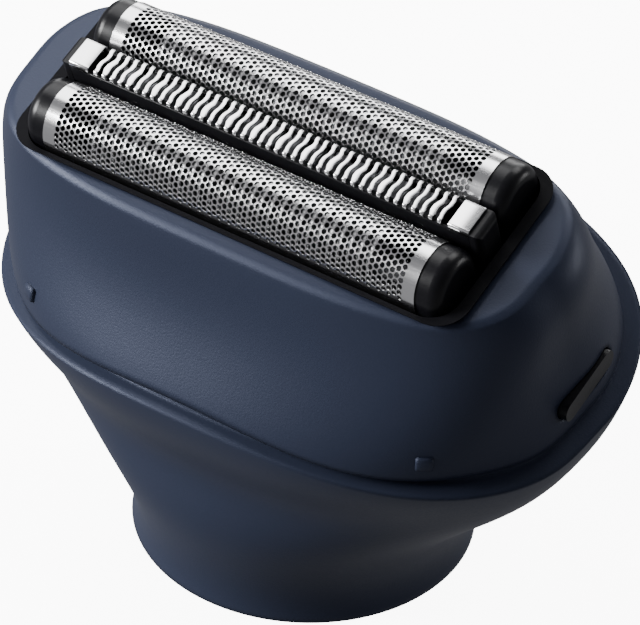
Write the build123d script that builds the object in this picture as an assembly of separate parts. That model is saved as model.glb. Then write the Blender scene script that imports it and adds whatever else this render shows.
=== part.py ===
from build123d import *
import os
from math import cos, sin, radians

# Stance: the neck stands upright and the head leans towards the front
head_lean = 20.0
pivot_height = 27.6

# Neck and handle socket
neck_radius = 16.6
neck_straight = 4.0
neck_flare_height = 10.0
neck_flare_lean = 3.0
neck_flare_half_length = 20.3
neck_flare_front = 17.9
neck_flare_back = 16.6
socket_radius = 14.0
socket_depth = 9.0

# Shoulder between the round neck and the oval flange
shoulder_height = 17.4
shoulder_lean = 11.0
shoulder_half_length = 27.3
shoulder_front = 18.1
shoulder_back = 16.2
shoulder_front_power = 2.0
shoulder_back_power = 2.25

# Flange of the lower body, measured in the leaning head
flange_half_length = 31.8
flange_end_flare = 1.35
flange_back_flare = 0.3
flange_front = 21.0
flange_back = 16.1
flange_rim_height = 5.0
flange_front_power = 2.25
flange_back_power = 3.0
flange_above = 0.6
crown_radius = 79.0
seat_inset = 0.4
groove_height = 0.9
room_depth = 0.5

# Head frame, from its foot inside the flange to its rim round the foils
ledge_end = 1.5
ledge_front = 0.95
ledge_back = 0.5
frame_clearance = 0.05
frame_foot_flare = 0.3
frame_end_draw = 0.7
frame_front_power = 2.3
frame_back_power = 2.9
rim_height = 18.4
rim_above = 0.6
rim_power = 4.5
rim_bow_radius = 625.0
rim_wall_end = 2.3
rim_wall_side = 1.25
rim_chamfer = 0.4
waist_height = 12.0
waist_flare_end = 3.95
waist_flare_front = 4.0
waist_flare_back = 2.8
waist_front_power = 2.75
waist_back_power = 3.1
brow_height = 15.6
brow_flare_end = 3.6
brow_flare_front = 1.95
brow_flare_back = 1.4
brow_front_power = 2.8
brow_back_power = 3.3
opening_corner = 2.8
opening_side_clearance = 0.45
opening_end_clearance = 0.6
foot_wall_end = 3.3
foot_wall_front = 3.85
foot_wall_back = 2.8
room_corner = 13.0
pocket_end_margin = 1.2
pocket_side_margin = 1.8
pocket_corner = 7.0

# Foils
foil_length = 40.0
foil_spacing = 10.36
foil_axis_height = 18.9
foil_radius = 3.42
foil_sheet = 0.2
foil_skirt = 2.4
foil_end_band = 1.2
window_columns = 15
window_rows = 3
window_length = 1.7
window_width = 1.5
window_step_angle = 38.0
float_travel = 1.5
float_clearance = 0.3

# Foil end caps
cap_depth = 2.4
cap_round = 1.2
cap_spigot = 0.8
cap_leg_height = 4.2
cap_leg_width = 2.4
cap_leg_depth = 1.5
cap_inset = 0.12

# Slotted middle blade and its end blocks
slit_blade_length = 43.0
slit_blade_width = 3.17
slit_blade_height = 22.08
slit_sheet = 0.35
slit_skirt = 2.6
slit_count = 43
slit_gap = 0.45
slit_end_plate = 2.1
slit_block_length = 2.0
slit_block_bottom = 12.6
slit_nose = 1.1
slit_nose_round = 0.6
slit_nose_drop = 0.3

# Inner cutters
cutter_clearance = 0.25
cutter_blade_count = 10
cutter_blade_thickness = 0.6
cutter_bar_width = 2.0
cutter_bar_height = 1.2
cutter_foot_gap = 0.8
cutter_length = 35.0
cutter_base_bottom = 12.7
cutter_base_top = 16.2
cutter_base_width = 4.0
slit_cutter_height = 1.6
slit_cutter_teeth = 16

# Drive carriages
stroke = 1.2
carriage_bottom = 8.0
carriage_top = 10.0
carriage_length = 26.0
carriage_width = 4.0
post_radius = 1.2
post_offset = 8.0
post_top = 14.4
post_clearance = 0.1
fork_gap = 7.2
fork_prong = 2.0
fork_bottom = -0.3
fork_thickness = 1.5
fork_reach = 0.9
spring_sheet = 0.3
spring_bow = 0.6
spring_width = 2.4
spring_end_gap = 0.5

# Cassette carrier
carrier_clearance = 0.25
carrier_wall = 0.9
carrier_flange_bottom = 9.0
carrier_flange_height = 1.3
carrier_flange_width = 0.8
carrier_flange_corner = 5.5

# Chassis and its screws
chassis_floor = -5.5
chassis_thickness = 1.6
chassis_half_length = 22.0
chassis_front = 13.0
chassis_back = 12.0
chassis_corner = 8.0
chassis_clearance = 0.15
chassis_hole_radius = 6.0
tower_length = 3.0
tower_width = 3.6
slide_clearance = 0.1
screw_offset = 16.5
screw_radius = 0.9
screw_head_radius = 1.7
screw_head_height = 1.1
screw_length = 5.0
screw_tip_room = 0.2

# Spindle, crank and bush
shaft_radius = 2.0
bush_wall = 1.2
bush_length = 5.0
running_clearance = 0.05
coupling_radius = 3.6
coupling_height = 4.0
coupling_recess = 1.0
coupling_hexagon_radius = 2.67
coupling_hexagon_depth = 2.4
coupling_room = 0.6
crank_radius = 3.2
crank_thickness = 1.2
crank_level = -3.6
crank_pin_radius = 0.6
crank_pin_height = 2.8

# Release buttons
button_height_in_head = 2.9
button_width = 8.0
button_thickness = 2.0
button_proud = 0.1
button_lip = 0.8
button_lip_depth = 0.8
button_lip_gap = 0.5
button_slot_clearance = 0.15
button_round = 0.95

os.makedirs("parts", exist_ok=True)

head = Pos(0, 0, pivot_height) * Rot(head_lean, 0, 0)
upward = (Align.CENTER, Align.CENTER, Align.MIN)
downward = (Align.CENTER, Align.CENTER, Align.MAX)


def save(shape, name):
    """Write one piece to its own file."""
    export_step(shape, f"parts/{name}.step")


def oval(half_length, front, back, front_power, back_power, count=20):
    """Closed oval whose front and back halves may differ in depth and in fullness."""
    points = []
    for i in range(count):
        turn = radians(360 * i / count)
        power = back_power if sin(turn) > 0 else front_power
        depth = back if sin(turn) > 0 else front
        reach = (abs(cos(turn)) ** power + abs(sin(turn)) ** power) ** (-1 / power)
        points.append((half_length * reach * cos(turn), depth * reach * sin(turn)))
    return make_face(Spline(*points, periodic=True))


def round_box(half_length, front, back, corner):
    """Rounded rectangle whose front and back edges may lie at different depths."""
    return Pos(0, (back - front) / 2) * RectangleRounded(2 * half_length, front + back, corner)


def level(height):
    """Plane of the leaning head at a height above its pivot."""
    return Pos(0, 0, height)


def crown_above(height, radius):
    """Large block whose underside is an arch along the length of the head."""
    size = 4 * flange_half_length
    block = Pos(0, 0, height) * Box(size, size, size)
    arch = Pos(0, 0, height - radius) * Rot(90, 0, 0) * Cylinder(radius, 2 * size)
    return block - arch


def arch_profile(radius, skirt):
    """Half-round outline with straight sides, standing in the plane across the head."""
    top = Circle(radius)
    trim = Pos(0, -2 * radius) * Rectangle(4 * radius, 4 * radius)
    sides = Pos(0, -skirt / 2) * Rectangle(2 * radius, skirt)
    return (top - trim) + sides


across = Plane(origin=(0, 0, 0), x_dir=(0, 1, 0), z_dir=(1, 0, 0))


def along_x(sketch, start, end):
    """Extrude an outline in the plane across the head between two stations along it."""
    return Pos(start, 0, 0) * extrude(across * sketch, end - start)


# Sizes that several pieces share
foil_side = foil_spacing / 2 + foil_radius
opening_half_width = foil_side + opening_side_clearance
opening_half_length = slit_blade_length / 2 + slit_nose + opening_end_clearance
rim_half_length = opening_half_length + rim_wall_end
rim_half_width = opening_half_width + rim_wall_side
frame_half_length = flange_half_length - ledge_end
frame_front = flange_front - ledge_front
frame_back = flange_back - ledge_back
room_half_length = frame_half_length - foot_wall_end
room_front = frame_front - foot_wall_front
room_back = frame_back - foot_wall_back
room_outline = round_box(room_half_length, room_front, room_back, room_corner)
end_drop = flange_half_length**2 / (2 * crown_radius)
rim_end_height = flange_rim_height - end_drop
carrier_length = opening_half_length - carrier_clearance
carrier_width = opening_half_width - carrier_clearance
carrier_top = foil_axis_height - foil_skirt - float_travel - float_clearance

# Lower body: a lofted shell from the round neck to the oval flange
foot = oval(neck_radius, neck_radius, neck_radius, 2, 2)
neck = level(neck_straight) * foot
flare = level(neck_flare_height) * Rot(neck_flare_lean, 0, 0) * oval(
    neck_flare_half_length, neck_flare_front, neck_flare_back, 2, 2
)
shoulder = level(shoulder_height) * Rot(shoulder_lean, 0, 0) * oval(
    shoulder_half_length, shoulder_front, shoulder_back, shoulder_front_power, shoulder_back_power
)
under_rim = head * level(rim_end_height) * oval(
    flange_half_length, flange_front, flange_back, flange_front_power, flange_back_power
)
over_rim = head * level(flange_rim_height + flange_above) * oval(
    flange_half_length + flange_end_flare, flange_front,
    flange_back + flange_back_flare, flange_front_power, flange_back_power
)
shell = loft([foot, neck, flare, shoulder, under_rim, over_rim])

# The flange's top follows a crown, with a raised seat for the frame inside an open ledge
seat_outline = oval(
    frame_half_length - seat_inset, frame_front - seat_inset,
    frame_back - seat_inset, frame_front_power, frame_back_power
)
seat = level(rim_end_height - groove_height) * extrude(seat_outline, 2 * end_drop)
shell -= head * crown_above(flange_rim_height + groove_height, crown_radius)
shell -= head * (crown_above(flange_rim_height, crown_radius) - seat)
upper_room = level(rim_end_height - room_depth) * extrude(room_outline, 2 * pivot_height)
chassis_outline = round_box(chassis_half_length, chassis_front, chassis_back, chassis_corner)
lower_room = level(chassis_floor) * extrude(chassis_outline, 2 * pivot_height)
shell -= head * upper_room
shell -= head * lower_room

# Handle socket, coupling well, bush seat and screw holes in the lower body
coupling_bottom = socket_depth + coupling_recess
coupling_top = coupling_bottom + coupling_height
bush_bottom = coupling_top + coupling_room
bush_radius = shaft_radius + running_clearance + bush_wall
shell -= Cylinder(socket_radius, socket_depth, align=upward)
shell -= level(socket_depth) * Cylinder(
    coupling_radius + coupling_room, bush_bottom - socket_depth, align=upward
)
shell -= level(bush_bottom) * Cylinder(bush_radius, pivot_height, align=upward)
screw_spots = [Pos(x, 0, 0) for x in (-screw_offset, screw_offset)]
screw_hole_depth = screw_length - chassis_thickness + screw_tip_room
for spot in screw_spots:
    shell -= head * spot * level(chassis_floor) * Cylinder(screw_radius, screw_hole_depth, align=downward)
save(shell, "lower_body")

# Head frame: a lofted collar with an arched foot, a bowed rim, an opening and a pocket below it
frame_foot = flange_rim_height + groove_height + frame_clearance
frame = loft(
    [
        oval(
            frame_half_length, frame_front + frame_foot_flare,
            frame_back + frame_foot_flare, frame_front_power, frame_back_power
        ),
        level(frame_foot) * oval(
            frame_half_length - frame_end_draw, frame_front, frame_back, frame_front_power, frame_back_power
        ),
        level(waist_height) * oval(
            rim_half_length + waist_flare_end, rim_half_width + waist_flare_front,
            rim_half_width + waist_flare_back, waist_front_power, waist_back_power
        ),
        level(brow_height) * oval(
            rim_half_length + brow_flare_end, rim_half_width + brow_flare_front,
            rim_half_width + brow_flare_back, brow_front_power, brow_back_power
        ),
        level(rim_height + rim_above) * oval(
            rim_half_length, rim_half_width, rim_half_width, rim_power, rim_power
        ),
    ]
)
frame -= crown_above(rim_height, rim_bow_radius)
rim_edges = frame.faces().sort_by(Axis.Z)[-1].edges()
frame = chamfer(rim_edges, rim_chamfer)
foot_cut = Cylinder(crown_radius, 4 * flange_half_length)
frame -= level(frame_foot - crown_radius) * Rot(90, 0, 0) * foot_cut
frame -= extrude(
    RectangleRounded(2 * opening_half_length, 2 * opening_half_width, opening_corner), 2 * rim_height
)
pocket_bottom = rim_end_height - room_depth
pocket_top = carrier_flange_bottom + carrier_flange_height + slide_clearance
pocket_half_length = carrier_length + carrier_flange_width + pocket_end_margin
pocket_half_width = carrier_width + carrier_flange_width + pocket_side_margin
frame -= loft(
    [
        level(pocket_bottom) * room_outline,
        level(pocket_top) * RectangleRounded(2 * pocket_half_length, 2 * pocket_half_width, pocket_corner),
    ],
    ruled=True,
)
button_slot = RectangleRounded(
    button_width + 2 * button_slot_clearance,
    button_thickness + 2 * button_slot_clearance,
    button_round + button_slot_clearance,
)
slot_bar = level(button_height_in_head) * along_x(button_slot, 0, 2 * frame_half_length)
frame -= slot_bar
frame -= mirror(slot_bar, Plane.YZ)
save(head * frame, "head_frame")

# Cassette carrier: a rounded ring of walls with a foot flange under the frame's shoulder
carrier = level(carrier_flange_bottom) * extrude(
    RectangleRounded(2 * carrier_length, 2 * carrier_width, opening_corner - carrier_clearance),
    carrier_top - carrier_flange_bottom,
)
carrier += level(carrier_flange_bottom) * extrude(
    RectangleRounded(
        2 * (carrier_length + carrier_flange_width),
        2 * (carrier_width + carrier_flange_width),
        carrier_flange_corner,
    ),
    carrier_flange_height,
)
carrier -= extrude(
    RectangleRounded(
        2 * (carrier_length - carrier_wall),
        2 * (carrier_width - carrier_wall),
        opening_corner - carrier_clearance - carrier_wall,
    ),
    2 * carrier_top,
)
save(head * carrier, "cassette_frame")

# Foils: thin arched sheets with rows of windows between plain end bands
foil_places = {"front": -foil_spacing / 2, "rear": foil_spacing / 2}
window_pitch = (foil_length - 2 * foil_end_band) / window_columns
sheet_inside = arch_profile(foil_radius - foil_sheet, 2 * foil_skirt)
sheet_outline = arch_profile(foil_radius, foil_skirt) - sheet_inside
sheet = along_x(sheet_outline, -foil_length / 2, foil_length / 2)
for column in range(window_columns):
    x = (column - (window_columns - 1) / 2) * window_pitch
    for row in range(window_rows):
        turn = (row - (window_rows - 1) / 2) * window_step_angle
        tool = level(foil_radius) * Box(window_length, window_width, foil_radius)
        sheet -= Pos(x, 0, 0) * Rot(turn, 0, 0) * tool

# End cap: a domed half-round block with a spigot inside the foil and a guide leg below
cap_start = foil_length / 2
cap_block = along_x(arch_profile(foil_radius - cap_inset, foil_skirt), cap_start, cap_start + cap_depth)
outer_edges = cap_block.faces().sort_by(Axis.X)[-1].edges()
cap_block = fillet(outer_edges, cap_round)
spigot_radius = foil_radius - foil_sheet - running_clearance
cap_block += along_x(arch_profile(spigot_radius, foil_skirt), cap_start - cap_spigot, cap_start)
leg_x = cap_start - cap_spigot + cap_leg_depth / 2
cap_block += Pos(leg_x, 0, -foil_skirt) * Box(cap_leg_depth, cap_leg_width, cap_leg_height, align=downward)
for side, y in foil_places.items():
    place = head * Pos(0, y, foil_axis_height)
    save(place * sheet, f"{side}_foil")
    save(place * cap_block, f"{side}_cap_right")
    save(place * mirror(cap_block, Plane.YZ), f"{side}_cap_left")

# Slotted middle blade: a bent sheet with a row of cross slots between plain end plates
blade_inside = slit_blade_width - 2 * slit_sheet
under_sheet = slit_blade_height - slit_sheet
blade = level(slit_blade_height) * Box(slit_blade_length, slit_blade_width, slit_skirt, align=downward)
blade -= level(under_sheet) * Box(2 * slit_blade_length, blade_inside, slit_skirt, align=downward)
slit_pitch = (slit_blade_length - 2 * slit_end_plate) / slit_count
for i in range(slit_count):
    x = (i - (slit_count - 1) / 2) * slit_pitch
    blade -= Pos(x, 0, slit_blade_height) * Box(slit_gap, blade_inside, 3 * slit_sheet)
save(head * blade, "slit_blade")

# End blocks that carry the slotted blade, each with a rounded nose past the blade's end
block_width = blade_inside - 2 * running_clearance
blade_end = slit_blade_length / 2
block = Pos(blade_end - slit_block_length / 2, 0, slit_block_bottom) * Box(
    slit_block_length, block_width, under_sheet - slit_block_bottom, align=upward
)
nose_bottom = carrier_top + float_travel + float_clearance
nose = Pos(blade_end + slit_nose / 2, 0, nose_bottom) * Box(
    slit_nose, slit_blade_width, slit_blade_height - slit_nose_drop - nose_bottom, align=upward
)
nose = fillet(nose.faces().sort_by(Axis.X)[-1].edges(), slit_nose_round)
block += nose
save(head * block, "slit_block_right")
save(head * mirror(block, Plane.YZ), "slit_block_left")

# Slit cutter: a toothed bar that slides under the slotted blade
comb_top = under_sheet - slide_clearance
comb_length = slit_blade_length - 2 * (slit_block_length + stroke + float_clearance)
comb_width = blade_inside - 4 * slide_clearance
comb = level(comb_top) * Box(comb_length, comb_width, slit_cutter_height, align=downward)
tooth_pitch = comb_length / slit_cutter_teeth
for i in range(slit_cutter_teeth):
    x = (i - (slit_cutter_teeth - 1) / 2) * tooth_pitch
    comb -= Pos(x, 0, comb_top) * Box(tooth_pitch / 2, 2 * comb_width, slit_cutter_height)
save(head * comb, "slit_cutter")

# Foil cutters: a row of half-round blades on a bar, seated on a base that slides on the carriage posts
blade_radius = foil_radius - foil_sheet - cutter_clearance
blade_bottom = cutter_base_top - foil_axis_height
row = level(blade_bottom) * Box(cutter_length, cutter_bar_width, cutter_bar_height, align=upward)
blade_pitch = (cutter_length - cutter_blade_thickness) / (cutter_blade_count - 1)
blade_outline = arch_profile(blade_radius, -blade_bottom - cutter_foot_gap)
for i in range(cutter_blade_count):
    x = -cutter_length / 2 + i * blade_pitch
    row += along_x(blade_outline, x, x + cutter_blade_thickness)
base = level(cutter_base_bottom) * Box(
    cutter_length, cutter_base_width, cutter_base_top - cutter_base_bottom, align=upward
)
post_hole_depth = post_top - cutter_base_bottom + float_travel + post_clearance
for x in (-post_offset, post_offset):
    base -= Pos(x, 0, cutter_base_bottom) * Cylinder(
        post_radius + post_clearance, post_hole_depth, align=upward
    )

# Leaf spring of one carriage, bowed between its two posts
spring_length = 2 * (post_offset - post_radius - spring_end_gap)
bow_radius = (spring_length / 2) ** 2 / (2 * spring_bow)
strip = Circle(bow_radius) - Circle(bow_radius - spring_sheet)
strip &= Pos(0, bow_radius) * Rectangle(spring_length, 2 * (spring_bow + spring_sheet))
strip_foot = strip.bounding_box().min.Y
leaf = extrude(Plane.XZ * Pos(0, -strip_foot) * strip, spring_width / 2, both=True)

# Drive carriages: a bar with two posts, and a fork that reaches down to the crank
for side, y in foil_places.items():
    inward = -1 if y > 0 else 1
    carriage = Pos(0, y, carriage_bottom) * Box(
        carriage_length, carriage_width, carriage_top - carriage_bottom, align=upward
    )
    for x in (-post_offset, post_offset):
        carriage += Pos(x, y, carriage_bottom) * Cylinder(
            post_radius, post_top - carriage_bottom, align=upward
        )
    for x in (-1, 1):
        prong_x = x * (fork_gap + fork_prong) / 2
        carriage += Pos(prong_x, y, fork_bottom) * Box(
            fork_prong, fork_prong, carriage_top - fork_bottom, align=upward
        )
        reach = abs(y) - fork_reach
        carriage += Pos(prong_x, y + inward * reach / 2, fork_bottom) * Box(
            fork_prong, reach, fork_thickness, align=upward
        )
    save(head * carriage, f"{side}_drive")
    save(head * Pos(0, y, carriage_top) * leaf, f"{side}_spring")
    save(head * Pos(0, y, 0) * base, f"{side}_cutter_base")
    save(head * Pos(0, y, foil_axis_height) * row, f"{side}_cutter_blades")

# Chassis: a rounded plate with four guide towers and a round hole for the crank
plate = level(chassis_floor) * extrude(
    round_box(
        chassis_half_length - chassis_clearance,
        chassis_front - chassis_clearance,
        chassis_back - chassis_clearance,
        chassis_corner - chassis_clearance,
    ),
    chassis_thickness,
)
plate -= level(chassis_floor) * Cylinder(chassis_hole_radius, 4 * chassis_thickness)
tower_top = carriage_bottom - slide_clearance
tower_x = carriage_length / 2 - stroke - tower_length / 2
for y in foil_places.values():
    for x in (-tower_x, tower_x):
        plate += Pos(x, y, chassis_floor) * Box(
            tower_length, tower_width, tower_top - chassis_floor, align=upward
        )
for spot in screw_spots:
    plate -= spot * level(chassis_floor) * Cylinder(
        screw_radius + chassis_clearance, 4 * chassis_thickness
    )
save(head * plate, "chassis")

# Chassis screws
screws = []
screw_seat = chassis_floor + chassis_thickness
for spot in screw_spots:
    shank = level(screw_seat) * Cylinder(screw_radius, screw_length, align=downward)
    screw_head = level(screw_seat) * Cylinder(screw_head_radius, screw_head_height, align=upward)
    screws.append(head * spot * (shank + screw_head))
save(Compound(children=screws), "chassis_screws")

# Bush in the lower body
bush = level(bush_bottom) * Cylinder(bush_radius, bush_length, align=upward)
bush -= Cylinder(shaft_radius + running_clearance, 4 * pivot_height)
save(bush, "spindle_bush")

# Spindle: a coupling with a hexagonal socket, a shaft, a crank disc and two opposed pins
crank_bottom = pivot_height + crank_level
spindle = level(coupling_bottom) * Cylinder(coupling_radius, coupling_height, align=upward)
spindle -= level(coupling_bottom) * extrude(
    RegularPolygon(coupling_hexagon_radius, 6), coupling_hexagon_depth
)
spindle += level(coupling_top) * Cylinder(shaft_radius, crank_bottom - coupling_top, align=upward)
spindle += level(crank_bottom) * Cylinder(crank_radius, crank_thickness, align=upward)
for y in (-stroke, stroke):
    spindle += Pos(0, y, crank_bottom + crank_thickness) * Cylinder(
        crank_pin_radius, crank_pin_height, align=upward
    )
save(spindle, "drive_spindle")

# Release buttons: a rounded bar through the end wall with a lip inside it
lip_top = button_height_in_head + button_thickness / 2 + button_lip
pocket_slope = (room_half_length - pocket_half_length) / (pocket_top - pocket_bottom)
lip_x = room_half_length - pocket_slope * (lip_top - pocket_bottom) - button_lip_gap
bar = along_x(
    RectangleRounded(button_width, button_thickness, button_round), lip_x, frame_half_length + button_proud
)
lip = along_x(
    RectangleRounded(
        button_width + 2 * button_lip, button_thickness + 2 * button_lip, button_round + button_lip
    ),
    lip_x - button_lip_depth, lip_x,
)
button = level(button_height_in_head) * (bar + lip)
save(head * button, "button_right")
save(head * mirror(button, Plane.YZ), "button_left")
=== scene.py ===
import math

import bmesh
import bpy
from mathutils import Euler, Matrix, Vector


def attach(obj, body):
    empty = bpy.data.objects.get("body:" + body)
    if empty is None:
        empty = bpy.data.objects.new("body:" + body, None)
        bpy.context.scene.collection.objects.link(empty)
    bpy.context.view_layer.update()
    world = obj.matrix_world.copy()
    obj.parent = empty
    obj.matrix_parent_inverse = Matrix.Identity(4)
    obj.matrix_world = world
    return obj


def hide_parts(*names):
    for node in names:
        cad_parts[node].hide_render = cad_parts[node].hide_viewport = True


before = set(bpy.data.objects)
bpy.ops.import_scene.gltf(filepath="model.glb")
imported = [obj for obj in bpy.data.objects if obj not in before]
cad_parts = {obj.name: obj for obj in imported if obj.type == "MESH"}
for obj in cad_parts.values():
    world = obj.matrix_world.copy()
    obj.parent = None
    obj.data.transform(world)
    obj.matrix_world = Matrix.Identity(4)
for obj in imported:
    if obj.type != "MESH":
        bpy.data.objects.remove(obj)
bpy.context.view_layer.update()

# Lower body: the round neck that plugs onto the handle and flares into an oval collar.
# Injection-moulded navy plastic with a fine spark-eroded grain and a soft satin sheen.
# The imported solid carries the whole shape, so only its finish is made here.
navy_dark = (0.0145, 0.0182, 0.0335)
navy_light = (0.0205, 0.0252, 0.0445)
navy_sheen = 0.30
navy_sheen_tint = (0.66, 0.74, 1.0, 1.0)
navy_smooth = 0.36
navy_rough = 0.14
cloud_share = 0.35
sand_share = 0.3
mould_edge = 0.0007


class Shade:
    """A socket in a node tree that can be added and multiplied."""

    def __init__(self, tree, socket):
        self.tree = tree
        self.socket = socket

    def node(self, kind, settings, inputs, output=0):
        """Add a node, set it up, then fill or link its sockets."""
        made = self.tree.nodes.new(kind)
        for key, value in settings.items():
            if key == "stops":
                for element, (place, colour) in zip(made.color_ramp.elements, value):
                    element.position = place
                    element.color = colour
            else:
                setattr(made, key, value)
        for key, value in inputs.items():
            if isinstance(value, Shade):
                self.tree.links.new(value.socket, made.inputs[key])
            else:
                made.inputs[key].default_value = value
        return Shade(self.tree, made.outputs[output])

    def maths(self, operation, other):
        """A Math node on this socket and another socket or a number."""
        return self.node("ShaderNodeMath", {"operation": operation}, {0: self, 1: other})

    def __add__(self, other):
        return self.maths("ADD", other)

    __radd__ = __add__

    def __mul__(self, other):
        return self.maths("MULTIPLY", other)

    __rmul__ = __mul__


def start_finish(name, colour, roughness, metallic=0.0):
    """A new material with its shader and the piece's own coordinates."""
    material = bpy.data.materials.new(name)
    material.use_nodes = True
    shader = material.node_tree.nodes["Principled BSDF"]
    shader.inputs["Base Color"].default_value = (*colour, 1.0)
    shader.inputs["Roughness"].default_value = roughness
    shader.inputs["Metallic"].default_value = metallic
    place = material.node_tree.nodes.new("ShaderNodeTexCoord")
    return material, shader, Shade(material.node_tree, place.outputs["Object"])


def grain(place, scale, detail=2.0):
    """Fine cloudy noise over a piece, about 0.5 on average."""
    return place.node("ShaderNodeTexNoise", {}, {"Vector": place, "Scale": scale, "Detail": detail})


def mix_colours(place, factor, first, second):
    """A colour that runs from one to the other with a factor."""
    # On a Mix node set to colours, inputs 6 and 7 and output 2 carry them.
    return place.node(
        "ShaderNodeMix", {"data_type": "RGBA"}, {0: factor, 6: (*first, 1.0), 7: (*second, 1.0)}, 2
    )


def plug(shader, **links):
    """Feed made sockets into a shader's inputs, named with underscores for spaces."""
    for key, value in links.items():
        value.tree.links.new(value.socket, shader.inputs[key.replace("_", " ")])


def soft_edges(place, radius):
    """A normal that rounds the edges between faces, as a mould does."""
    return place.node("ShaderNodeBevel", {"samples": 6}, {"Radius": radius})


def roughen(place, height, strength, distance, normal=None):
    """A bump from a height pattern, over another normal or the face's own."""
    inputs = {"Height": height, "Strength": strength, "Distance": distance}
    if normal:
        inputs["Normal"] = normal
    return place.node("ShaderNodeBump", {}, inputs)


def paint(material, *nodes):
    """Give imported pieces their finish."""
    for node in nodes:
        piece = bpy.data.objects[node]
        piece.data.materials.clear()
        piece.data.materials.append(material)


def navy_moulding():
    """Satin navy plastic with a sandy mould grain and a faint cloudiness."""
    material, shader, place = start_finish("navy_satin_moulding", navy_dark, roughness=0.42)
    cloud = grain(place, scale=60.0)
    sand = grain(place, scale=5200.0, detail=3.0)
    rounded = soft_edges(place, mould_edge)
    plug(
        shader,
        Base_Color=mix_colours(place, cloud * cloud_share + sand * sand_share, navy_dark, navy_light),
        Roughness=navy_smooth + sand * navy_rough,
        Normal=roughen(place, sand, strength=0.22, distance=0.00006, normal=rounded),
    )
    shader.inputs["Specular IOR Level"].default_value = navy_sheen
    shader.inputs["Specular Tint"].default_value = navy_sheen_tint
    return material


navy = navy_moulding()
paint(navy, "lower_body")

# Head frame: the sloping collar round the foils, moulded in the same navy plastic.
# It snaps onto the lower body and is freed by the two end buttons.
paint(navy, "head_frame")

# Release buttons: black moulded bars in slots at the two ends of the frame.
# They are sprung outwards and pressed inwards to free the frame.


def black_moulding(name, colour, smooth, rough, bump, gloss=0.3):
    """Black or dark plastic, from a polished to a dull finish."""
    material, shader, place = start_finish(name, colour, smooth)
    sand = grain(place, scale=3600.0, detail=3.0)
    lighter = tuple(1.7 * channel for channel in colour)
    plug(
        shader,
        Base_Color=mix_colours(place, sand, colour, lighter),
        Roughness=smooth + sand * rough,
        Normal=roughen(place, sand, strength=bump, distance=0.00004),
    )
    shader.inputs["Specular IOR Level"].default_value = gloss
    return material


button_black = black_moulding(
    "button_black", (0.004, 0.004, 0.005), smooth=0.26, rough=0.14, bump=0.15
)
paint(button_black, "button_left", "button_right")

# Frame pips: two small square studs on the front corners of the head frame.
# They are moulded with the frame in the same navy plastic and show where it is gripped.
head_height = 0.0276
head_lean = math.radians(20)
head_place = Matrix.Translation((0, 0, head_height)) @ Matrix.Rotation(head_lean, 4, "X")
head_backwards = head_place.to_3x3() @ Vector((0, 1, 0))
clear_of_front = -0.06
pip_size = (0.0016, 0.0014, 0.0007)
pip_proud = 0.0003
pip_edge = 0.00018
pip_spots = {"frame_pip_left": (-0.0196, 0.0059), "frame_pip_right": (0.0226, 0.0048)}


def only(piece):
    """Leave one object selected and active."""
    bpy.ops.object.select_all(action="DESELECT")
    piece.select_set(True)
    bpy.context.view_layer.objects.active = piece


def start_piece(name, add, **sizes):
    """Add a primitive with nothing else selected, ready to be shaped in edit mode."""
    bpy.ops.object.select_all(action="DESELECT")
    add(**sizes)
    piece = bpy.context.active_object
    piece.name = name
    bpy.ops.object.transform_apply(location=True, rotation=True, scale=True)
    bpy.ops.object.mode_set(mode="EDIT")
    bpy.ops.mesh.select_all(action="SELECT")
    return piece


def settle(piece, place):
    """Move a finished piece to its place and put that place into its mesh."""
    only(piece)
    piece.matrix_world = place
    bpy.ops.object.transform_apply(location=True, rotation=True, scale=True)


def soften(piece, degrees):
    """Shade a piece smooth up to an angle between its faces."""
    only(piece)
    bpy.ops.object.shade_smooth_by_angle(angle=math.radians(degrees))


def dress(piece, body, material):
    """Give a new piece its finish and its body."""
    piece.data.materials.clear()
    piece.data.materials.append(material)
    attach(piece, body)


for name, (across, height) in pip_spots.items():
    start = head_place @ Vector((across, clear_of_front, height))
    spot, normal = bpy.data.objects["head_frame"].ray_cast(start, head_backwards)[1:3]
    pip = start_piece(name, bpy.ops.mesh.primitive_cube_add, size=1.0, scale=pip_size)
    bpy.ops.mesh.bevel(offset=pip_edge, segments=3, affect="EDGES")
    bpy.ops.object.mode_set(mode="OBJECT")
    turn = normal.to_track_quat("Z", "Y").to_matrix().to_4x4()
    sunk = Matrix.Translation((0, 0, pip_proud - pip_size[2] / 2))
    settle(pip, Matrix.Translation(spot) @ turn @ sunk)
    soften(pip, degrees=40)
    dress(pip, "housing", navy)

# Cassette: the black carrier under the frame's rim, with polished black end caps on the foils
# and satin black end blocks under the slotted blade. All are moulded and clip together.
carrier_black = black_moulding(
    "carrier_black", (0.005, 0.005, 0.006), smooth=0.42, rough=0.2, bump=0.2
)
cap_black = black_moulding(
    "cap_polished_black", (0.003, 0.003, 0.004), smooth=0.26, rough=0.12, bump=0.05, gloss=0.2
)
block_black = black_moulding(
    "block_satin_black", (0.004, 0.004, 0.005), smooth=0.30, rough=0.16, bump=0.12, gloss=0.2
)
paint(carrier_black, "cassette_frame")
paint(block_black, "slit_block_left", "slit_block_right")
paint(cap_black, "front_cap_left", "front_cap_right", "rear_cap_left", "rear_cap_right")

# Cassette lip: the black edge of the cassette, seen all round inside the frame's opening.
# Its very dark, dull black is partly the carrier's own and partly painted shade of the recess there.
# Its thin flat flange meets the frame's crowned rim in the middle of the long sides only,
# and is wider at the two ends, where it stands clear of the rim.
lip_inside = (0.02312, 0.00897)
lip_outside = (0.02420, 0.00938)
lip_spread = (lip_outside[0] / lip_inside[0], lip_outside[1] / lip_inside[1], 1)
lip_corner = 0.0028
lip_rest_height = 0.01841
lip_wall_depth = 0.0022
lip_sheet = 0.00009


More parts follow.
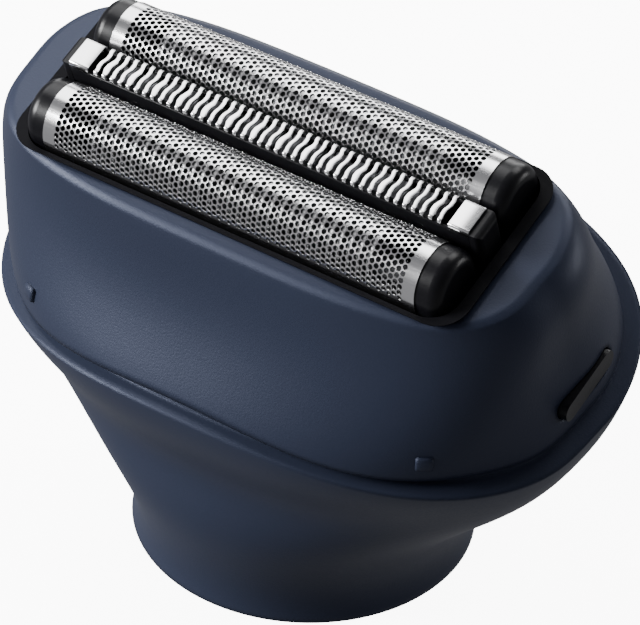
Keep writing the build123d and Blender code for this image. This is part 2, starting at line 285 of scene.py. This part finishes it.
def pick(piece, test):
    """Select the vertices of a piece in edit mode that pass a test."""
    bpy.ops.mesh.select_mode(type="VERT")
    bpy.ops.mesh.select_all(action="DESELECT")
    shape = bmesh.from_edit_mesh(piece.data)
    for vertex in shape.verts:
        vertex.select_set(test(vertex))
    shape.select_flush(True)
    bmesh.update_edit_mesh(piece.data)


def pick_edges(piece, test):
    """Select the edges between the vertices that pass a test."""
    pick(piece, test)
    bpy.ops.mesh.select_mode(type="EDGE")


def pull_edges(shift):
    """Extrude the selected edges and move what is new."""
    bpy.ops.mesh.extrude_edges_move(TRANSFORM_OT_translate={"value": shift})


def face_outwards():
    """Point every face of the edited piece outwards and leave edit mode."""
    bpy.ops.mesh.select_all(action="SELECT")
    bpy.ops.mesh.normals_make_consistent(inside=False)
    bpy.ops.object.mode_set(mode="OBJECT")


def thicken(piece, thickness, offset=-1.0):
    """Turn a sheet into a wall that grows inwards, or outwards with an offset of 1."""
    only(piece)
    wall = piece.modifiers.new("wall", "SOLIDIFY")
    wall.thickness = thickness
    wall.offset = offset
    bpy.ops.object.modifier_apply(modifier=wall.name)


# Painted shade: this black is darker and duller than the carrier's, so the lip reads as the shaded
# recess inside the opening.
lip_black_and_recess_shade = black_moulding(
    "lip_dull_black_and_recess_shade", (0.002, 0.002, 0.003), smooth=0.55, rough=0.2, bump=0.1, gloss=0.08
)
lip = start_piece("cassette_lip_and_recess_shade", bpy.ops.mesh.primitive_plane_add, size=2.0)
bpy.ops.transform.resize(value=(*lip_inside, 1), center_override=(0, 0, 0))
bpy.ops.mesh.bevel(offset=lip_corner, segments=8, affect="VERTICES", clamp_overlap=False)
bpy.ops.mesh.select_mode(type="FACE")
bpy.ops.mesh.select_all(action="SELECT")
bpy.ops.mesh.delete(type="ONLY_FACE")
bpy.ops.mesh.select_mode(type="EDGE")
bpy.ops.mesh.select_all(action="SELECT")
pull_edges((0, 0, -lip_wall_depth))
pick_edges(lip, lambda v: v.co.z > -lip_wall_depth / 2)
pull_edges((0, 0, 0))
bpy.ops.transform.resize(value=lip_spread, center_override=(0, 0, 0))
face_outwards()
thicken(lip, lip_sheet, offset=1.0)
settle(lip, head_place @ Matrix.Translation((0, 0, lip_rest_height)))
soften(lip, degrees=35)
dress(lip, "housing", lip_black_and_recess_shade)

# Foils: thin bright steel sheets etched with a honeycomb of round holes and bent into an arch.
# A plain band is left along each end, where the sheet is held by the black caps.
# Each sheet clips over its caps and rides up and down with them.
foil_axis_height = 0.0189
foil_radius = 0.00342
foil_half_length = 0.0200
foil_offset = 0.00518
foil_sheet = 0.00009
foil_skirt = 0.0024
hole_pitch = 0.00061
hole_web = 0.00012
hole_corner = 0.00007
cell_corners = 6
full_columns = 36
full_rows = 17
cell_side = hole_pitch / math.sqrt(3)
column_step = 1.5 * cell_side
half_arc = foil_radius * math.pi / 2
weld_distance = cell_side / 10
foot_height = cell_side / 20
# The sheet's new border lies past these lines: along its sides, at its ends and at the end tips.
outer_column = (full_columns - 1) * column_step
side_line = (full_rows - 1) * hole_pitch / 2 - 0.1 * cell_side
end_line = outer_column + 0.4 * cell_side
tip_line = outer_column + 0.9 * cell_side


def pick_faces(piece, test):
    """Select the faces of a piece in edit mode that pass a test."""
    bpy.ops.mesh.select_mode(type="FACE")
    bpy.ops.mesh.select_all(action="DESELECT")
    shape = bmesh.from_edit_mesh(piece.data)
    for face in shape.faces:
        face.select_set(test(face))
    bmesh.update_edit_mesh(piece.data)


def repeat(piece, count, step):
    """Array a piece along a step and apply it."""
    only(piece)
    array = piece.modifiers.new("repeat", "ARRAY")
    array.use_relative_offset = False
    array.use_constant_offset = True
    array.constant_offset_displace = step
    array.count = count
    bpy.ops.object.modifier_apply(modifier=array.name)


def join(pieces, name):
    """Join several objects into the first of them, which stays selected and active."""
    bpy.ops.object.select_all(action="DESELECT")
    for piece in pieces:
        piece.select_set(True)
    bpy.context.view_layer.objects.active = pieces[0]
    bpy.ops.object.join()
    pieces[0].name = name
    return pieces[0]


def twin(piece, name):
    """A copy of a piece with its own mesh."""
    copy = piece.copy()
    copy.data = piece.data.copy()
    copy.name = name
    bpy.context.collection.objects.link(copy)
    return copy


def cell_columns(name, columns, rows):
    """Every second column of six-sided cells, flat in the plane along the foil."""
    cells = start_piece(
        name,
        bpy.ops.mesh.primitive_circle_add,
        vertices=cell_corners,
        radius=cell_side,
        fill_type="NGON",
        rotation=(math.pi / 2, 0, 0),
    )
    bpy.ops.transform.rotate(value=math.pi / 6, orient_axis="Y", center_override=(0, 0, 0))
    first = (-(columns - 1) * column_step, 0, -(rows - 1) * hole_pitch / 2)
    bpy.ops.transform.translate(value=first)
    bpy.ops.object.mode_set(mode="OBJECT")
    repeat(cells, rows, (0, 0, hole_pitch))
    repeat(cells, columns, (2 * column_step, 0, 0))
    return cells


def foil_sheet_arch():
    """A honeycomb sheet with plain borders, bent into an arch about the foil's own axis."""
    full = cell_columns("full_columns", full_columns, full_rows)
    between = cell_columns("between_columns", full_columns - 1, full_rows - 1)
    arch = join([full, between], "foil_arch")
    bpy.ops.object.mode_set(mode="EDIT")
    bpy.ops.mesh.select_all(action="SELECT")
    bpy.ops.mesh.remove_doubles(threshold=weld_distance)
    bpy.ops.mesh.select_mode(type="EDGE")
    bpy.ops.mesh.select_all(action="DESELECT")
    bpy.ops.mesh.select_non_manifold(
        use_wire=False, use_multi_face=False, use_non_contiguous=False, use_verts=False
    )
    pull_edges((0, 0, 0))
    border = {v.index for v in bmesh.from_edit_mesh(arch.data).verts if v.select}
    for side in (-1, 1):
        pick(
            arch,
            lambda v: v.index in border and side * v.co.z > side_line and abs(v.co.x) < tip_line,
        )
        bpy.ops.transform.resize(value=(1, 1, 0), center_override=(0, 0, side * half_arc))
    for side in (-1, 1):
        pick(arch, lambda v: v.index in border and side * v.co.x > end_line)
        bpy.ops.transform.resize(value=(0, 1, 1), center_override=(side * foil_half_length, 0, 0))
    pick_faces(arch, lambda face: len(face.verts) == cell_corners)
    bpy.ops.mesh.inset(thickness=hole_web / 2, depth=0, use_individual=True)
    bpy.ops.mesh.bevel(offset=hole_corner, segments=1, affect="VERTICES")
    pick_faces(arch, lambda face: len(face.verts) == 2 * cell_corners)
    bpy.ops.mesh.delete(type="ONLY_FACE")
    bpy.ops.object.mode_set(mode="OBJECT")
    bend = arch.modifiers.new("bend", "SIMPLE_DEFORM")
    bend.deform_method = "BEND"
    bend.deform_axis = "X"
    bend.angle = math.pi
    bpy.ops.object.modifier_apply(modifier=bend.name)
    settle(arch, Matrix.Translation((0, 0, foil_radius)) @ Matrix.Rotation(-math.pi / 2, 4, "X"))
    bpy.ops.object.mode_set(mode="EDIT")
    pick_edges(arch, lambda v: v.co.z < foot_height)
    pull_edges((0, 0, -foil_skirt))
    face_outwards()
    thicken(arch, foil_sheet)
    soften(arch, degrees=35)
    return arch


def stretched(place, scale):
    """Coordinates drawn out along one or two axes, for marks left by rolling or grinding."""
    return place.node("ShaderNodeMapping", {}, {"Vector": place, "Scale": scale})


def bright_metal(name, colour, smooth, rough, marks):
    """Polished metal with faint rolling or grinding marks and a breath of unevenness."""
    material, shader, place = start_finish(name, colour, smooth, metallic=1.0)
    rolled = grain(stretched(place, marks), scale=1.0, detail=3.0)
    cloud = grain(place, scale=240.0)
    darker = tuple(0.9 * channel for channel in colour)
    plug(
        shader,
        Base_Color=mix_colours(place, cloud, darker, colour),
        Roughness=smooth + rolled * rough,
    )
    return material


foil_steel = bright_metal(
    "foil_polished_steel", (0.78, 0.78, 0.79), smooth=0.15, rough=0.10, marks=(300, 9000, 9000)
)
front_sheet = foil_sheet_arch()
front_sheet.name = "front_foil_sheet"
rear_sheet = twin(front_sheet, "rear_foil_sheet")
for sheet, side, offset in ((front_sheet, "front", -foil_offset), (rear_sheet, "rear", foil_offset)):
    settle(sheet, head_place @ Matrix.Translation((0, offset, foil_axis_height)))
    dress(sheet, f"{side}_foil_unit", foil_steel)
    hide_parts(f"{side}_foil")

# Foil cutters: rows of thin half-round lamellae on a bar, just under each foil's crown.
# Ground steel, set side by side on an acetal base that slides with the carriage.
lamella_count = 29
lamella_step = 2 * column_step
lamella_thickness = 0.00030
lamella_radius = 0.0026
lamella_rise = 0.00068
lamella_leg = 0.0026
cutter_bar = (0.035, 0.0020, 0.0012)
cutter_bar_bottom = -0.0027
cutter_bar_edge = 0.0002
acetal_smooth = 0.34
acetal_rough = 0.14


def lamella_row():
    """A bar with its row of lamellae, about the foil's own axis."""
    lamella = start_piece(
        "lamella",
        bpy.ops.mesh.primitive_cylinder_add,
        vertices=40,
        radius=lamella_radius,
        depth=lamella_thickness,
        rotation=(0, math.pi / 2, 0),
    )
    bpy.ops.mesh.bisect(plane_co=(0, 0, 0), plane_no=(0, 0, 1), clear_inner=True, use_fill=True)
    pick_faces(lamella, lambda face: face.normal.z < -0.9)
    bpy.ops.mesh.extrude_region_move(TRANSFORM_OT_translate={"value": (0, 0, -lamella_leg)})
    bpy.ops.mesh.select_all(action="SELECT")
    bpy.ops.transform.translate(value=(-(lamella_count - 1) / 2 * lamella_step, 0, lamella_rise))
    face_outwards()
    repeat(lamella, lamella_count, (lamella_step, 0, 0))
    bar = start_piece(
        "cutter_bar",
        bpy.ops.mesh.primitive_cube_add,
        size=1.0,
        scale=cutter_bar,
        location=(0, 0, cutter_bar_bottom + cutter_bar[2] / 2),
    )
    bpy.ops.mesh.bevel(offset=cutter_bar_edge, segments=2, affect="EDGES")
    bpy.ops.object.mode_set(mode="OBJECT")
    row = join([lamella, bar], "lamella_row")
    soften(row, degrees=30)
    return row


def acetal(name, colour):
    """Acetal: a waxy, slightly cloudy moulded plastic."""
    material, shader, place = start_finish(name, colour, roughness=0.4)
    cloud = grain(place, scale=500.0, detail=3.0)
    sand = grain(place, scale=4200.0)
    darker = tuple(0.88 * channel for channel in colour)
    plug(
        shader,
        Base_Color=mix_colours(place, cloud, colour, darker),
        Roughness=acetal_smooth + cloud * acetal_rough,
        Normal=roughen(place, sand, strength=0.12, distance=0.00004),
    )
    return material


cutter_steel = bright_metal(
    "cutter_ground_steel", (0.50, 0.50, 0.51), smooth=0.24, rough=0.16, marks=(9000, 500, 500)
)
front_row = lamella_row()
front_row.name = "front_cutter_lamellae"
rear_row = twin(front_row, "rear_cutter_lamellae")
for row, side, offset in ((front_row, "front", -foil_offset), (rear_row, "rear", foil_offset)):
    settle(row, head_place @ Matrix.Translation((0, offset, foil_axis_height)))
    dress(row, f"{side}_cutter", cutter_steel)
    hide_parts(f"{side}_cutter_blades")
drive_acetal = acetal("drive_white_acetal", (0.30, 0.30, 0.29))
paint(drive_acetal, "front_cutter_base", "rear_cutter_base")

# Slotted blade: a bright steel cover with kinked bars between two plain end plates.
# It is etched from sheet, and the ends of its bars and plates are bent down along both sides.
blade_top = 0.02208
blade_width = 0.00317
blade_half_length = 0.0215
blade_plate = 0.0021
blade_sheet = 0.00022
blade_edge = 0.00009
bar_count = 42
bar_width = 0.00038
bar_swell = 0.00022
bar_kink = 0.00011
slight_kink = 0.8 * bar_kink
bar_lip = 0.0005
bar_bend = 0.00036
plate_lip = 0.0007
bar_step = 2 * (blade_half_length - blade_plate) / (bar_count + 1)
first_bar = -(bar_count - 1) / 2 * bar_step
# The bars come in threes, each with its own kink and swelling.
bar_kinds = ((bar_kink, 0.0), (bar_kink, bar_swell), (slight_kink, 0.0))
kind_count = len(bar_kinds)
# Distances across the blade from its middle: where bars are kinked and swollen, and their ends.
kink_low = 0.02 * blade_width
kink_high = 0.30 * blade_width
swell_low = -0.36 * blade_width
swell_high = 0.10 * blade_width
end_row = 0.49 * blade_width
# Vertices above this height are still in the flat of the sheet.
flat_limit = -1e-6


def bent_bar(name, width, lip, kink=0.0, swell=0.0):
    """A strip of sheet across the blade, kinked half-way, with both ends bent down."""
    bar = start_piece(
        name, bpy.ops.mesh.primitive_grid_add, x_subdivisions=1, y_subdivisions=12, size=1.0
    )
    bpy.ops.transform.resize(value=(width, blade_width, 1), center_override=(0, 0, 0))
    for side in (-1, 1):
        pick(bar, lambda v: kink_low < side * v.co.y < kink_high)
        bpy.ops.transform.translate(value=(side * kink, 0, 0))
    for side in (-1, 1):
        pick(bar, lambda v: side * v.co.x > 0 and swell_low < v.co.y < swell_high)
        bpy.ops.transform.translate(value=(side * swell / 2, 0, 0))
    for side in (-1, 1):
        pick_edges(bar, lambda v: side * v.co.y > end_row and v.co.z > flat_limit)
        pull_edges((0, 0, -lip))
    pick_edges(bar, lambda v: abs(v.co.y) > end_row and v.co.z > flat_limit)
    bpy.ops.mesh.bevel(offset=bar_bend, segments=4, affect="EDGES")
    face_outwards()
    return bar


def round_edges(piece, width):
    """Break the sharp edges of a piece, as tumbling or a mould's corners do."""
    only(piece)
    rounding = piece.modifiers.new("rounding", "BEVEL")
    rounding.width = width
    rounding.segments = 3
    rounding.limit_method = "ANGLE"
    rounding.angle_limit = math.radians(50)
    bpy.ops.object.modifier_apply(modifier=rounding.name)


strips = []
for number, (kink, swell) in enumerate(bar_kinds):
    bar = bent_bar(f"bars_{number}", bar_width, bar_lip, kink, swell)
    repeat(bar, bar_count // kind_count, (kind_count * bar_step, 0, 0))
    settle(bar, Matrix.Translation((first_bar + number * bar_step, 0, blade_top)))
    strips.append(bar)
for side in (-1, 1):
    plate = bent_bar(f"plate_{side}", blade_plate, plate_lip)
    settle(plate, Matrix.Translation((side * (blade_half_length - blade_plate / 2), 0, blade_top)))
    strips.append(plate)
slotted_blade = join(strips, "slotted_blade")
thicken(slotted_blade, blade_sheet)
round_edges(slotted_blade, blade_edge)
soften(slotted_blade, degrees=40)
slit_steel = bright_metal(
    "slit_polished_steel", (0.86, 0.86, 0.87), smooth=0.14, rough=0.12, marks=(9000, 400, 400)
)
settle(slotted_blade, head_place)
dress(slotted_blade, "slit_unit", slit_steel)
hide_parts("slit_blade")

# Slit channel: the two black side walls that join the end blocks below the slotted blade's bars.
# They share the end blocks' satin black finish and have lightly rounded edges.
channel_gap = 0.0001
channel_top = blade_top - bar_lip - channel_gap
channel_bottom = 0.01948
channel_wall = 0.0003
channel_edge = 0.0001
channel = start_piece(
    "slit_channel",
    bpy.ops.mesh.primitive_cube_add,
    size=1.0,
    scale=(2 * blade_half_length, blade_width, channel_top - channel_bottom),
    location=(0, 0, (channel_top + channel_bottom) / 2),
)
pick_faces(channel, lambda face: abs(face.normal.y) < 0.5)
bpy.ops.mesh.delete(type="ONLY_FACE")
bpy.ops.object.mode_set(mode="OBJECT")
thicken(channel, channel_wall)
round_edges(channel, channel_edge)
soften(channel, degrees=40)
settle(channel, head_place)
dress(channel, "slit_unit", block_black)

# Slit cutter: a toothed steel bar that slides to and fro under the slotted blade.
# It is stamped and hardened, and its steel is coloured darker than the cover above it.
comb_steel = bright_metal(
    "comb_dark_steel", (0.16, 0.16, 0.17), smooth=0.3, rough=0.2, marks=(9000, 500, 500)
)
paint(comb_steel, "slit_cutter")

# Drive: two acetal carriages with leaf springs, moved by the crank spindle in its bush.
# The carriages slide on the dark chassis, which is held to the lower body by two screws.
paint(drive_acetal, "front_drive", "rear_drive", "drive_spindle")
spring_steel = bright_metal(
    "spring_rolled_steel", (0.50, 0.50, 0.51), smooth=0.26, rough=0.2, marks=(400, 7000, 7000)
)
paint(spring_steel, "front_spring", "rear_spring")
chassis_grey = black_moulding(
    "chassis_dark_grey", (0.014, 0.014, 0.016), smooth=0.45, rough=0.2, bump=0.2
)
paint(chassis_grey, "chassis")
screw_steel = bright_metal(
    "screw_zinc_steel", (0.58, 0.59, 0.60), smooth=0.24, rough=0.2, marks=(3000, 3000, 3000)
)
paint(screw_steel, "chassis_screws")
bush_bronze = bright_metal(
    "bush_sintered_bronze", (0.48, 0.33, 0.16), smooth=0.34, rough=0.22, marks=(5000, 5000, 5000)
)
paint(bush_bronze, "spindle_bush")

# Stage: a pale floor, soft light from large panels and the camera at the photograph's angle.
# The floor glows so that it renders white, and is hidden from bounced light and shadows.
# It lies a hair below the neck's foot, which would otherwise share its plane.
floor_drop = -0.0003
floor_glow = 9.0
light_aim = (0, 0, 0.04)
table_white = (0.32, 0.32, 0.33, 1)
room_grey = (0.19, 0.19, 0.20, 1)
# On the world's ramp 0 is straight down, 0.5 the horizon and 1 straight up.
horizon_low = 0.44
horizon_high = 0.56
camera_spot = (0.161799, -0.245898, 0.248692)
camera_degrees = (52.597283, -1.984914, 34.719567)

bpy.ops.object.select_all(action="DESELECT")
bpy.ops.mesh.primitive_plane_add(size=3.0, location=(0, 0, floor_drop))
floor = bpy.context.active_object
floor.name = "studio_floor"
floor_finish, floor_shader = start_finish("floor_white", (0.86, 0.86, 0.86), roughness=0.7)[:2]
floor_shader.inputs["Emission Color"].default_value = (1, 1, 1, 1)
floor_shader.inputs["Emission Strength"].default_value = floor_glow
floor.visible_diffuse = False
floor.visible_glossy = False
floor.visible_shadow = False
floor.data.materials.append(floor_finish)


def soft_panel(name, place, width, height, power):
    """A large soft light that faces the head."""
    data = bpy.data.lights.new(name, "AREA")
    data.shape = "RECTANGLE"
    data.size = width
    data.size_y = height
    data.energy = power
    panel = bpy.data.objects.new(name, data)
    bpy.context.collection.objects.link(panel)
    panel.location = place
    panel.rotation_euler = (Vector(light_aim) - Vector(place)).to_track_quat("-Z", "Y").to_euler()


soft_panel("key_panel", (-0.30, 0.16, 0.46), width=0.36, height=0.34, power=2.2)
soft_panel("top_panel", (0.05, 0.42, 0.50), width=0.36, height=0.30, power=2.2)
soft_panel("front_panel", (-0.58, -0.44, 0.30), width=0.36, height=0.24, power=16.0)
soft_panel("back_panel", (-0.25, 0.60, 0.22), width=0.50, height=0.25, power=2.0)
soft_panel("rim_panel", (0.46, 0.52, 0.08), width=0.24, height=0.12, power=0.8)

world = bpy.data.worlds.new("studio_world")
world.use_nodes = True
world_place = world.node_tree.nodes.new("ShaderNodeTexCoord")
direction = Shade(world.node_tree, world_place.outputs["Generated"])
upward = direction.node("ShaderNodeSeparateXYZ", {}, {0: direction}, 2)
glow = direction.node(
    "ShaderNodeValToRGB",
    {"stops": ((horizon_low, table_white), (horizon_high, room_grey))},
    {0: upward * 0.5 + 0.5},
)
plug(world.node_tree.nodes["Background"], Color=glow)
bpy.context.scene.world = world

camera_data = bpy.data.cameras.new("photo_camera")
camera = bpy.data.objects.new("photo_camera", camera_data)
bpy.context.collection.objects.link(camera)
camera_data.sensor_width = 36.0
camera_data.lens = 224.13
camera_data.clip_start = 0.01
camera_data.clip_end = 20.0
camera_turn = Euler([math.radians(angle) for angle in camera_degrees])
camera.matrix_world = Matrix.LocRotScale(Vector(camera_spot), camera_turn, None)
bpy.context.scene.camera = camera
